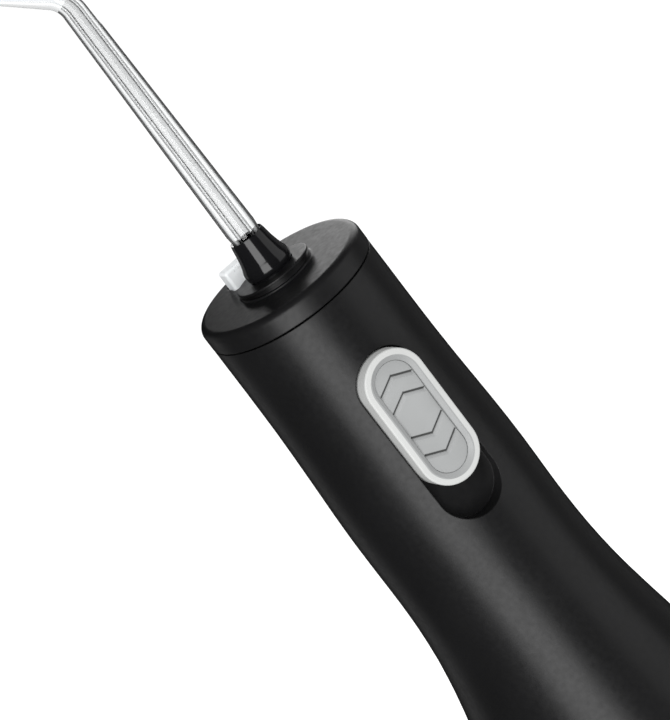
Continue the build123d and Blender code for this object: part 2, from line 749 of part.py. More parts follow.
# Drive frame: the plate that carries motor, gears and pump, with a cradle round the motor
with BuildPart() as drive_frame:
    add(oval(HANDLE_STATIONS, WALL + 0.2, DRIVE_PLATE_Z, DRIVE_PLATE_Z + DRIVE_PLATE_T))
    turn(
        ((MOTOR_R + 0.1, 156), (10.8, 156), (10.8, DRIVE_PLATE_Z), (MOTOR_R + 0.1, DRIVE_PLATE_Z)),
        0,
        MOTOR_Y,
    )
    for x, y in POSTS:
        post(x, y, 1.8, DRIVE_PLATE_Z, PUMP_FLANGE_Z)
    # rails that hold the circuit board's edges
    with BuildSketch(Plane.XY.offset(140)):
        with Locations((-8.7, -11.0), (8.7, -11.0)):
            Rectangle(1.4, 2.8)
    extrude(amount=DRIVE_PLATE_Z - 140)
    # clearances for the carriage, the hose, the pinion and the screws
    with BuildSketch(Plane.XY.offset(DRIVE_PLATE_Z)):
        with Locations((0, -15.9)):
            Rectangle(11.2, 8)
        with Locations((0, -15.9)):
            Rectangle(18.6, 5)
        with Locations((HOSE_X - 1.7, 0)):
            Rectangle(8, 5)
    extrude(amount=DRIVE_PLATE_T, mode=Mode.SUBTRACT)
    post(0, MOTOR_Y, 3.6, DRIVE_PLATE_Z, DRIVE_PLATE_Z + DRIVE_PLATE_T, mode=Mode.SUBTRACT)
    post(0, GEAR_Y, 1.0, DRIVE_PLATE_Z, DRIVE_PLATE_Z + DRIVE_PLATE_T, mode=Mode.SUBTRACT)
    for x, y in POSTS:
        post(x, y, 0.9, PUMP_FLANGE_Z - 6, PUMP_FLANGE_Z, mode=Mode.SUBTRACT)

# Motor: a can with two magnets, an armature on a shaft and a plastic end bell
with BuildPart() as motor_can:
    turn(
        (
            (1.1, DRIVE_PLATE_Z - 0.8),
            (MOTOR_R - 0.7, DRIVE_PLATE_Z - 0.8),
            (MOTOR_R - 0.7, MOTOR_BOTTOM_Z),
            (MOTOR_R, MOTOR_BOTTOM_Z),
            (MOTOR_R, DRIVE_PLATE_Z),
            (3.2, DRIVE_PLATE_Z),
            (3.2, DRIVE_PLATE_Z + 1.0),
            (1.1, DRIVE_PLATE_Z + 1.0),
        ),
        0,
        MOTOR_Y,
    )

with BuildPart() as motor_magnets:
    with BuildSketch(Plane.XY.offset(142)):
        with Locations((0, MOTOR_Y)):
            Circle(MOTOR_R - 0.75)
            Circle(6.4, mode=Mode.SUBTRACT)
            Rectangle(24, 6, mode=Mode.SUBTRACT)
    extrude(amount=14)

with BuildPart() as motor_end_bell:
    turn(
        (
            (1.1, 136.6),
            (MOTOR_R, 136.6),
            (MOTOR_R, MOTOR_BOTTOM_Z),
            (MOTOR_R - 0.8, MOTOR_BOTTOM_Z),
            (MOTOR_R - 0.8, MOTOR_BOTTOM_Z + 1.2),
            (1.1, MOTOR_BOTTOM_Z + 1.2),
        ),
        0,
        MOTOR_Y,
    )

with BuildPart() as motor_terminals:
    with BuildSketch(Plane.XY.offset(135.0)):
        with Locations((-6, MOTOR_Y), (6, MOTOR_Y)):
            Rectangle(0.8, 3)
    extrude(amount=1.6)

with BuildPart() as motor_armature:
    turn(((1.0, 142), (6.0, 142), (6.0, 156), (1.0, 156)), 0, MOTOR_Y)
    with BuildSketch(Plane.XY.offset(142)):
        with Locations((0, MOTOR_Y)):
            with PolarLocations(4.6, 3, start_angle=30):
                Rectangle(3.6, 1.0)
    extrude(amount=14, mode=Mode.SUBTRACT)

with BuildPart() as motor_shaft:
    post(0, MOTOR_Y, 1.0, 137.4, GEAR_TOP_Z + 0.5)

with BuildPart() as motor_pinion:
    with BuildSketch(Plane.XY.offset(GEAR_BOTTOM_Z)):
        with Locations((0, MOTOR_Y)):
            add(gear_outline(PINION_TEETH, 0.9, -90))
            Circle(1.0, mode=Mode.SUBTRACT)
    extrude(amount=GEAR_TOP_Z - GEAR_BOTTOM_Z)

# Swash gear: the big gear carries a slanted face that pushes the plunger up once a turn
swash_face = Plane(origin=(0, GEAR_Y, SWASH_MID_Z), z_dir=(0, -SWASH_SLOPE, 1))
with BuildPart() as swash_gear:
    post(0, GEAR_Y, SWASH_R, GEAR_TOP_Z - 0.5, SWASH_MID_Z + 6)
    split(bisect_by=swash_face, keep=Keep.BOTTOM)
    with BuildSketch(Plane.XY.offset(GEAR_BOTTOM_Z)):
        with Locations((0, GEAR_Y)):
            add(gear_outline(GEAR_TEETH, 0.7, 90 + 180 / GEAR_TEETH))
    extrude(amount=GEAR_TOP_Z - GEAR_BOTTOM_Z)
    post(0, GEAR_Y, 1.05, GEAR_BOTTOM_Z - 1, 168.0, mode=Mode.SUBTRACT)

with BuildPart() as gear_axle:
    post(0, GEAR_Y, 1.0, DRIVE_PLATE_Z, 167.8)

# Pump cylinder: closed at the top but for its outlet, with the inlet barb on its left
with BuildPart() as pump_cylinder:
    turn(
        (
            (PLUNGER_R + 0.05, PUMP_BOTTOM_Z),
            (6.2, PUMP_BOTTOM_Z),
            (6.2, PUMP_TOP_Z),
            (2.2, PUMP_TOP_Z),
            (2.2, PUMP_TOP_Z + 2.0),
            (1.1, PUMP_TOP_Z + 2.0),
            (1.1, 189.1),
            (PLUNGER_R + 0.05, 189.1),
        )
    )
    with BuildSketch(Plane.XY.offset(PUMP_FLANGE_Z)):
        with Locations((0, 0.75)):
            RectangleRounded(25, 18.5, 2.4)
        Circle(6.0, mode=Mode.SUBTRACT)
        with Locations((HOSE_X, 0)):
            Rectangle(7.4, 5, mode=Mode.SUBTRACT)
    extrude(amount=2.0)
    for x, y in POSTS:
        post(x, y, 0.95, PUMP_FLANGE_Z, PUMP_FLANGE_Z + 2, mode=Mode.SUBTRACT)
    with BuildSketch(Plane.YZ.offset(-11.0)):
        with Locations((0, INLET_Z)):
            Circle(1.1)
    extrude(amount=6)
    with BuildSketch(Plane.YZ.offset(-9.5)):
        with Locations((0, INLET_Z)):
            Circle(1.8)
    extrude(amount=4.5)
    with BuildSketch(Plane.YZ.offset(-11.0)):
        with Locations((0, INLET_Z)):
            Circle(0.7)
    extrude(amount=8, mode=Mode.SUBTRACT)

# Plunger: ball foot on the swash face, spring flange, piston with a groove for its seal
foot_z = SWASH_MID_Z - SWASH_SLOPE * GEAR_Y + (FOOT_R + 0.1) / cos(atan(SWASH_SLOPE))
flange_top_z = 175.8
with BuildPart() as pump_plunger:
    with Locations((0, 0, foot_z)):
        Sphere(FOOT_R)
    turn(
        (
            (0, foot_z),
            (1.7, foot_z),
            (1.7, 174.6),
            (6.0, 174.8),
            (6.0, flange_top_z),
            (PLUNGER_R, flange_top_z),
            (PLUNGER_R, PLUNGER_TOP_Z),
            (0, PLUNGER_TOP_Z),
        )
    )
    turn(((3.5, 184.9), (4.5, 184.9), (4.5, 185.5), (3.5, 185.5)), mode=Mode.SUBTRACT)

with BuildPart() as plunger_seal:
    with BuildSketch(Plane.XZ):
        with Locations((3.77, 185.2)):
            Circle(0.26)
    revolve(axis=Axis.Z)

with BuildPart() as return_spring:
    coil((0, 0, flange_top_z + 0.02), (0, 0, 1), PUMP_BOTTOM_Z - flange_top_z - 0.04, 5.1, 0.4, 3)

# Valves: a flap behind the inlet and an umbrella under the outlet
with BuildPart() as pump_valves:
    with BuildSketch(Plane.YZ.offset(-10.6)):
        with Locations((0, INLET_Z)):
            Circle(0.66)
    extrude(amount=1.2)
    turn(((0, 188.3), (1.9, 188.6), (1.9, 188.9), (0.7, 189.05), (0.7, 191.0), (0, 191.4)))

# Screws that hold the pump to the drive frame: button head and shank
with BuildPart() as pump_screws:
    for x, y in POSTS:
        screw_top = PUMP_FLANGE_Z + 2
        turn(
            (
                (0, PUMP_FLANGE_Z - 5),
                (0.9, PUMP_FLANGE_Z - 4.5),
                (0.9, screw_top),
                (1.7, screw_top),
                (1.7, screw_top + 0.7),
                (1.1, screw_top + 1.3),
                (0, screw_top + 1.3),
            ),
            x,
            y,
        )

# Hose: from the bulkhead past the batteries and the motor to the pump's inlet
hose_route = (
    (*PORT, 83.0),
    (*PORT, 92.0),
    (-12.6, 7.3, 105.0),
    (-12.6, 7.3, 132.0),
    (HOSE_X, 0, 144.0),
    (HOSE_X, 0, INLET_Z),
    (-9.5, 0, INLET_Z),
)
with BuildPart() as inlet_hose:
    tube(hose_route, [6, 9, 14, 14, 3.8], 1.85, 1.15)

# ================================================================ batteries and electrics

# Holder: three tubes joined side by side, closed by a top plate
with BuildPart() as battery_holder:
    with BuildSketch(Plane.XY.offset(SPLIT_Z + BULKHEAD_T)):
        with Locations(*cells):
            Circle(HOLDER_R)
        Circle(4)
    extrude(amount=HOLDER_TOP_Z - SPLIT_Z - BULKHEAD_T)
    with BuildSketch(Plane.XY.offset(SPLIT_Z + BULKHEAD_T)):
        Circle(17.7)
        with Locations(SCREWS[0][:2]):
            Circle(3.3, mode=Mode.SUBTRACT)
    extrude(amount=1.5)
    with BuildSketch(Plane.XY.offset(SPLIT_Z + BULKHEAD_T - 1)):
        with Locations(*cells):
            Circle(HOLDER_R - 0.6)
    extrude(amount=NUB_TOP_Z + 0.2 - SPLIT_Z - BULKHEAD_T + 1, mode=Mode.SUBTRACT)
    # relief that the door's springs pass through when the door turns
    with BuildSketch(Plane.XY.offset(82.9)):
        Circle(CELL_RING_R + 3.5)
        Circle(CELL_RING_R - 3.5, mode=Mode.SUBTRACT)
    extrude(amount=0.5, mode=Mode.SUBTRACT)
    # slots for the contact tabs
    with BuildSketch(Plane.XY.offset(NUB_TOP_Z)):
        with Locations((-3.5, -7.5), (3.5, -7.5)):
            Rectangle(1.8, 0.8)
    extrude(amount=3, mode=Mode.SUBTRACT)

# Cells: the middle one stands the other way up
battery_cells = []
for number, (x, y) in enumerate(cells, start=1):
    with BuildPart() as cell:
        nub_up = number != 1
        shift = 0 if nub_up else NUB_TOP_Z - CELL_TOP_Z
        post(x, y, CELL_R, CELL_BOTTOM_Z + shift, CELL_TOP_Z + shift)
        fillet(cell.edges().filter_by(GeomType.CIRCLE), 0.5)
        if nub_up:
            post(x, y, 2.7, CELL_TOP_Z, NUB_TOP_Z)
        else:
            post(x, y, 2.7, CELL_BOTTOM_Z, CELL_BOTTOM_Z + shift)
    battery_cells.append(cell)

# Contacts over the cells: a bridge and two plates with solder tabs
contact_t = 0.18
with BuildPart() as battery_contacts:
    with BuildSketch(Plane.XY.offset(NUB_TOP_Z)):
        with Locations(cells[0]):
            Rectangle(9, 7)
        with Locations(cells[1], cells[2]):
            Circle(3.2)
        with Locations((-4.6, -6.2), (4.6, -6.2)):
            Rectangle(3.6, 2.9)
    extrude(amount=contact_t)
    with BuildSketch(Plane.XY.offset(NUB_TOP_Z)):
        with Locations((-3.5, -7.5), (3.5, -7.5)):
            Rectangle(1.4, 0.4)
    extrude(amount=2.4)

# Springs on the battery door, under the cells
with BuildPart() as battery_springs:
    for x, y in cells:
        coil((x, y, 82.02), (0, 0, 1), 1.1, 3.0, 0.2, 1.5)

# Circuit board behind the switch, with a chip and a capacitor
with BuildPart() as circuit_board:
    with BuildSketch(Plane.XZ.offset(10.5)):
        with Locations((0, 149.5)):
            Rectangle(15.8, 20.5)
    extrude(amount=1.0)
    with BuildSketch(Plane.XZ.offset(9.2)):
        with Locations((0, 146)):
            Rectangle(6, 5)
    extrude(amount=1.3)

with BuildPart() as board_capacitor:
    post(5.0, -8.6, 1.8, 149, 154)
    with BuildSketch(Plane.XZ.offset(9.8)):
        with Locations((5.0, 151.5)):
            Rectangle(1.6, 3)
    extrude(amount=0.7)

# Reed switch that the magnet closes
with BuildPart() as reed_switch:
    with BuildSketch(Plane.XZ.offset(9.0)):
        with Locations((-2.5, 155.5)):
            RectangleRounded(8, 2.2, 0.8)
    extrude(amount=1.5)

# Leads from the board to the motor's terminals and to the battery contacts
with BuildPart() as wire_leads:
    for side in (-1, 1):
        x = 6 * side
        tube(
            ((x, -10.5, 141.5), (x, -6.5, 141.5), (x, -6.5, 135.8), (x, MOTOR_Y - 1.5, 135.8)),
            1.5,
            0.5,
        )
        x = 3.5 * side
        tube(((x, -10.5, 141.0), (x, -7.5, 141.0), (x, -7.5, 135.4)), 1.5, 0.5)

# ================================================================ bottom of the handle

# Bulkhead: closes the handle, with a skirt that drops into the tank and the water nipple
with BuildPart() as bulkhead:
    add(oval(HANDLE_STATIONS, WALL + 0.25, SPLIT_Z, SPLIT_Z + BULKHEAD_T))
    add(oval(TANK_STATIONS, 2.6, SKIRT_BOTTOM_Z, SPLIT_Z))
    add(oval(TANK_STATIONS, 4.6, SKIRT_BOTTOM_Z, SPLIT_Z), mode=Mode.SUBTRACT)
    post(*PORT, 3.0, 64, SPLIT_Z)
    post(*PORT, 1.1, SPLIT_Z, 88)
    post(*PORT, 0.7, 63, 89, mode=Mode.SUBTRACT)
    post(0, 0, 17.2, SPLIT_Z - 1, SPLIT_Z + BULKHEAD_T + 1, mode=Mode.SUBTRACT)
    for x, y, side in SCREWS:
        post(x, y, 1.1, SPLIT_Z, SPLIT_Z + BULKHEAD_T, mode=Mode.SUBTRACT)
    # arm behind the latch spring
    with BuildSketch(Plane.XY.offset(SPLIT_Z + 1)):
        with Locations((0, 21.9)):
            Rectangle(6, 2.4)
    extrude(amount=11)
    # groove for the skirt's seal
    add(
        oval(TANK_STATIONS, 1.0, 73.4, 74.8) - oval(TANK_STATIONS, 3.6, 73.4, 74.8),
        mode=Mode.SUBTRACT,
    )

with BuildPart() as skirt_seal:
    add(oval(TANK_STATIONS, 2.12, 73.4, 74.8))
    add(oval(TANK_STATIONS, 3.6, 73.4, 74.8), mode=Mode.SUBTRACT)

# Self-tapping screws through the bulkhead into the shell's bosses
with BuildPart() as bulkhead_screws:
    for x, y, side in SCREWS:
        turn(
            (
                (0, SPLIT_Z - 1.3),
                (1.1, SPLIT_Z - 1.3),
                (1.6, SPLIT_Z - 0.6),
                (1.6, SPLIT_Z),
                (1.0, SPLIT_Z),
                (1.0, 90.0),
                (0, 91.0),
            ),
            x,
            y,
        )

# Battery door: a twist-off disc with a grip bar
with BuildPart() as battery_door:
    turn(
        (
            (0, 76.5),
            (DOOR_R - 0.6, 76.5),
            (DOOR_R, 77.1),
            (DOOR_R, 79.45),
            (16.9, 79.45),
            (16.9, 82.0),
            (0, 82.0),
        )
    )
    with BuildSketch(Plane.XY.offset(74.4)):
        SlotOverall(26, 4.4)
    extrude(amount=2.1)

with BuildPart() as battery_door_seal:
    with BuildSketch(Plane.XZ):
        with Locations((17.5, 79.72)):
            Circle(0.25)
    revolve(axis=Axis.Z)

# Latch button in the handle's back, with its retaining flange
with BuildPart(mode=Mode.PRIVATE) as latch_stub:
    with BuildSketch(Plane.XZ.offset(-28.6)):
        with Locations((0, LATCH_Z)):
            SlotOverall(12.2, 6.8)
    extrude(amount=-12)
    add(oval(HANDLE_STATIONS, -0.9), mode=Mode.INTERSECT)
with BuildPart() as latch_button:
    add(latch_stub.part)
    with BuildSketch(Plane.XZ.offset(-28.4)):
        with Locations((0, LATCH_Z)):
            SlotOverall(14.4, 9.0)
    extrude(amount=-1.2)
    # guide pin inside the spring
    with BuildSketch(Plane.XZ.offset(-26.0)):
        with Locations((0, LATCH_Z)):
            Circle(0.9)
    extrude(amount=-3.0)

with BuildPart() as latch_spring:
    coil((0, 23.12, LATCH_Z), (0, 1, 0), 28.4 - 23.14, 2.2, 0.3, 5)

# ================================================================ export
pieces = {
    "water_tank": water_tank,
    "foot_pad": foot_pad,
    "tank_deck": tank_deck,
    "port_seal": port_seal,
    "suction_tube": suction_tube,
    "suction_filter": suction_filter,
    "fill_door": fill_door,
    "fill_door_seal": fill_door_seal,
    "door_hinge_pin": door_hinge_pin,
    "handle_shell": handle_shell,
    "top_cap": top_cap,
    "cap_seal": cap_seal,
    "tip_socket": tip_socket,
    "tip_clip": tip_clip,
    "switch_frame": switch_frame,
    "switch_pad": switch_pad,
    "switch_carriage": switch_carriage,
    "switch_magnet": switch_magnet,
    "eject_button": eject_button,
    "eject_spring": eject_spring,
    "rotation_knob": rotation_knob,
    "tip_sleeve": tip_sleeve,
    "knob_ring": knob_ring,
    "jet_tip": jet_tip,
    "tip_seal": tip_seal,
    "tip_ring": tip_ring,
    "drive_frame": drive_frame,
    "motor_can": motor_can,
    "motor_magnets": motor_magnets,
    "motor_end_bell": motor_end_bell,
    "motor_terminals": motor_terminals,
    "motor_armature": motor_armature,
    "motor_shaft": motor_shaft,
    "motor_pinion": motor_pinion,
    "swash_gear": swash_gear,
    "gear_axle": gear_axle,
    "pump_cylinder": pump_cylinder,
    "pump_plunger": pump_plunger,
    "plunger_seal": plunger_seal,
    "return_spring": return_spring,
    "pump_valves": pump_valves,
    "pump_screws": pump_screws,
    "inlet_hose": inlet_hose,
    "battery_holder": battery_holder,
    "battery_contacts": battery_contacts,
    "battery_springs": battery_springs,
    "circuit_board": circuit_board,
    "board_capacitor": board_capacitor,
    "reed_switch": reed_switch,
    "wire_leads": wire_leads,
    "bulkhead": bulkhead,
    "skirt_seal": skirt_seal,
    "bulkhead_screws": bulkhead_screws,
    "battery_door": battery_door,
    "battery_door_seal": battery_door_seal,
    "latch_button": latch_button,
    "latch_spring": latch_spring,
}
for number, cell in enumerate(battery_cells, start=1):
    pieces[f"battery_cell_{number}"] = cell
for name, piece in pieces.items():
    piece.part.label = name
    export_step(piece.part, f"parts/{name}.step")
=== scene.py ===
"""Looks, light and camera for the cordless water flosser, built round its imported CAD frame."""

import json
import math

import bmesh
import bpy
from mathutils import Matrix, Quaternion, Vector


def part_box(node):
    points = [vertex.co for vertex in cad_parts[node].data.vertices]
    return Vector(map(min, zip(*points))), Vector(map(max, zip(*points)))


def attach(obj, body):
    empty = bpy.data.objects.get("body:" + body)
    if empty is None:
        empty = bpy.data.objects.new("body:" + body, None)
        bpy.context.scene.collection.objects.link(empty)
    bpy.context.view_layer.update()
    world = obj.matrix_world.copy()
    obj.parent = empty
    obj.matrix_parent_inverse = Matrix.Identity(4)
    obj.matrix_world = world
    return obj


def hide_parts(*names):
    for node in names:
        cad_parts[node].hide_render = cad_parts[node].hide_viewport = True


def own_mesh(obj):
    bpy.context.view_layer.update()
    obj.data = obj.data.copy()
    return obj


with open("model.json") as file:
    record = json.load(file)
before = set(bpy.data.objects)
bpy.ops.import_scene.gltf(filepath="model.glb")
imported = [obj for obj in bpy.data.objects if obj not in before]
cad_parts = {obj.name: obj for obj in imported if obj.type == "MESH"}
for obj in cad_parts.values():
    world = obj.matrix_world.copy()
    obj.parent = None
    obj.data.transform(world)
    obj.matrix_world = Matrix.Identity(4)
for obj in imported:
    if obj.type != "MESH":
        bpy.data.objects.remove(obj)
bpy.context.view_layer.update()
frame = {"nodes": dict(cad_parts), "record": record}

NODES = frame["nodes"]
MM = 0.001

# ---------------------------------------------------------------- camera
VIEW_AZIMUTH = math.radians(-16.4)
VIEW_ELEVATION = math.radians(16.0)
VIEW_ROLL = math.radians(-37.3)  # the object leans to the upper left of the picture
VIEW_DISTANCE = 0.70
FRAME_HEIGHT = 137.14 * MM  # what the picture's long side spans at the object
SENSOR = 36.0
AIM_HEIGHT = 185.8 * MM
AIM_SIDE = -0.84 * MM


def make_camera():
    """A long lens on the picture's viewing direction, rolled about its own axis."""
    back = Vector(
        (
            math.sin(VIEW_AZIMUTH) * math.cos(VIEW_ELEVATION),
            -math.cos(VIEW_AZIMUTH) * math.cos(VIEW_ELEVATION),
            math.sin(VIEW_ELEVATION),
        )
    )
    right = Vector((math.cos(VIEW_AZIMUTH), math.sin(VIEW_AZIMUTH), 0))
    data = bpy.data.cameras.new("camera")
    data.sensor_width = SENSOR
    data.lens = SENSOR * VIEW_DISTANCE / FRAME_HEIGHT
    data.clip_start, data.clip_end = 0.01, 60
    camera = bpy.data.objects.new("camera", data)
    bpy.context.scene.collection.objects.link(camera)
    camera.location = Vector((0, 0, AIM_HEIGHT)) + right * AIM_SIDE + back * VIEW_DISTANCE
    camera.rotation_mode = "QUATERNION"
    level = (-back).to_track_quat("-Z", "Y")
    camera.rotation_quaternion = level @ Quaternion((0, 0, 1), VIEW_ROLL)
    bpy.context.scene.camera = camera


make_camera()


# ---------------------------------------------------------------- material helpers
NOISE_RANGE = (0.3, 0.7)
RUBBED_RANGE = (0.42, 0.62)  # of noise, from an edge still whole to one that is rubbed
EDGE_RANGE = (0.995, 0.90)  # of the cosine between true and rounded normal, from flat to edge
EDGE_ON_RANGE = (0.21, 0.50)  # of Layer Weight's Facing, from face-on to edge-on, where the clear parts' painted dark edges fade in


class Recipe:
    """A principled material under construction."""

    def __init__(self, name):
        self.material = bpy.data.materials.new(name)
        self.material.use_nodes = True
        self.tree = self.material.node_tree
        self.shader = self.tree.nodes["Principled BSDF"]
        self.place = self.node("ShaderNodeTexCoord").outputs["Object"]

    def node(self, kind, **settings):
        made = self.tree.nodes.new(kind)
        for key, value in settings.items():
            setattr(made, key, value)
        return made

    def link(self, start, end):
        self.tree.links.new(start, end)

    def noise(self, scale, detail=2.0, stretch=(1, 1, 1), roughness=0.5):
        """Noise whose scale is features per metre."""
        mapping = self.node("ShaderNodeMapping")
        mapping.inputs["Scale"].default_value = stretch
        noise = self.node("ShaderNodeTexNoise")
        noise.inputs["Scale"].default_value = scale
        noise.inputs["Detail"].default_value = detail
        noise.inputs["Roughness"].default_value = roughness
        self.link(self.place, mapping.inputs["Vector"])
        self.link(mapping.outputs["Vector"], noise.inputs["Vector"])
        return noise.outputs["Fac"]

    def span(self, value, low, high, to_low, to_high):
        """Maps one range of numbers onto another."""
        span = self.node("ShaderNodeMapRange")
        ends = {"From Min": low, "From Max": high, "To Min": to_low, "To Max": to_high}
        for key, number in ends.items():
            span.inputs[key].default_value = number
        self.link(value, span.inputs["Value"])
        return span.outputs["Result"]

    def spread(self, noise, to_low, to_high):
        """Maps the range that noise mostly keeps to onto another."""
        return self.span(noise, *NOISE_RANGE, to_low, to_high)

    def mix(self, factor, first, second):
        """Mixes two colours, each given as a tuple or as an output."""
        mix = self.node("ShaderNodeMix", data_type="RGBA")
        self.link(factor, mix.inputs["Factor"])
        for key, colour in (("A", first), ("B", second)):
            socket = next(s for s in mix.inputs if s.name == key and s.type == "RGBA")
            if isinstance(colour, tuple):
                socket.default_value = (*colour, 1)
            else:
                self.link(colour, socket)
        return next(s for s in mix.outputs if s.type == "RGBA")

    def edges(self, radius):
        """Rounds sharp edges in the shading, and gives a mask that is 1 on those edges."""
        bevel = self.node("ShaderNodeBevel", samples=4)
        bevel.inputs["Radius"].default_value = radius
        geometry = self.node("ShaderNodeNewGeometry")
        dot = self.node("ShaderNodeVectorMath", operation="DOT_PRODUCT")
        self.link(bevel.outputs["Normal"], dot.inputs[0])
        self.link(geometry.outputs["Normal"], dot.inputs[1])
        return bevel.outputs["Normal"], self.span(dot.outputs["Value"], *EDGE_RANGE, 0.0, 1.0)

    def bump(self, height, strength, distance, normal=None):
        bump = self.node("ShaderNodeBump")
        bump.inputs["Strength"].default_value = strength
        bump.inputs["Distance"].default_value = distance
        self.link(height, bump.inputs["Height"])
        if normal is not None:
            self.link(normal, bump.inputs["Normal"])
        return bump.outputs["Normal"]

    def set(self, **values):
        for key, value in values.items():
            self.shader.inputs[key.replace("_", " ")].default_value = value


def scaled(colour, factor):
    return tuple(min(1.0, c * factor) for c in colour)


def moulded(
    name, colour, roughness, grain=2600, grain_depth=0.02, wear=1.6, edge=0.25, spec=0.5, shade=1.0
):
    """Moulded plastic or rubber: spark-eroded grain, faint mottling and edges rubbed lighter.

    Grain is features per metre, and its depth and the width of the rubbed edge are millimetres.
    Wear and shade are factors on the colour: wear on the rubbed edges, and shade for the painted shade
    on the steep groove walls that the mesh marks.
    """
    r = Recipe(name)
    cloud = r.noise(60, 3)
    fine = r.noise(grain, 3, roughness=0.6)
    normal, edge_mask = r.edges(edge * MM)
    rubbed = r.node("ShaderNodeMath", operation="MULTIPLY")
    r.link(edge_mask, rubbed.inputs[0])
    r.link(r.span(r.noise(420, 4), *RUBBED_RANGE, 0.0, 0.8), rubbed.inputs[1])
    base = r.mix(r.spread(cloud, 0, 1), scaled(colour, 0.9), scaled(colour, 1.1))
    top = r.mix(rubbed.outputs["Value"], base, scaled(colour, wear))
    if shade < 1:  # painted shade: the mesh marks the grooves' steep upper walls, and they are darkened there
        painted_groove_shade = r.node("ShaderNodeAttribute", attribute_name="shade")
        top = r.mix(r.span(painted_groove_shade.outputs["Fac"], 0.0, 0.45, 0, 1), top, scaled(colour, shade))
    r.link(top, r.shader.inputs["Base Color"])
    gloss = r.spread(r.noise(900, 4), roughness * 0.88, roughness * 1.12)
    r.link(gloss, r.shader.inputs["Roughness"])
    r.link(r.bump(fine, 0.5, grain_depth * MM, normal), r.shader.inputs["Normal"])
    r.set(Specular_IOR_Level=spec)
    return r.material


def metal(name, colour, roughness, stretch=(1, 1, 30), scale=900):
    """Drawn or turned metal: fine lines along one direction."""
    r = Recipe(name)
    lines = r.noise(scale, 4, stretch)
    normal, edge_mask = r.edges(0.1 * MM)
    base = r.mix(r.spread(lines, 0, 1), scaled(colour, 0.82), scaled(colour, 1.1))
    r.link(r.mix(edge_mask, base, scaled(colour, 1.25)), r.shader.inputs["Base Color"])
    r.link(r.spread(lines, roughness * 0.75, roughness * 1.3), r.shader.inputs["Roughness"])
    r.link(r.bump(lines, 0.3, 0.01 * MM, normal), r.shader.inputs["Normal"])
    r.set(Metallic=1.0)
    return r.material


def clear(name, colour, roughness, transmission, ior=1.49, rim=1.0, veil=1.0):
    """Clear or smoky plastic with faint flow marks.

    Where it is seen edge-on, its colour falls by the rim factor and its clearness by the veil factor:
    painted dark edges, in place of the dark refractions at a clear part's edges.
    """
    r = Recipe(name)
    flow = r.noise(120, 3, (1, 1, 0.15))
    body = r.mix(r.spread(flow, 0, 1), scaled(colour, 0.97), scaled(colour, 1.02))
    r.set(Transmission_Weight=transmission, IOR=ior)
    if rim < 1:
        # painted shade: the colour darkens where the surface is seen edge-on, in place of the dark
        # refractions there
        facing = r.node("ShaderNodeLayerWeight")
        facing.inputs["Blend"].default_value = 0.5
        painted_dark_edge = r.span(facing.outputs["Facing"], *EDGE_ON_RANGE, 0, 1)
        body = r.mix(painted_dark_edge, body, scaled(colour, rim))
        if veil < 1:
            veiled = r.span(painted_dark_edge, 0, 1, transmission, transmission * veil)
            r.link(veiled, r.shader.inputs["Transmission Weight"])
    r.link(body, r.shader.inputs["Base Color"])
    haze = r.spread(r.noise(700, 3), roughness * 0.7, roughness * 1.3)
    r.link(haze, r.shader.inputs["Roughness"])
    r.link(r.bump(flow, 0.1, 0.02 * MM), r.shader.inputs["Normal"])
    return r.material


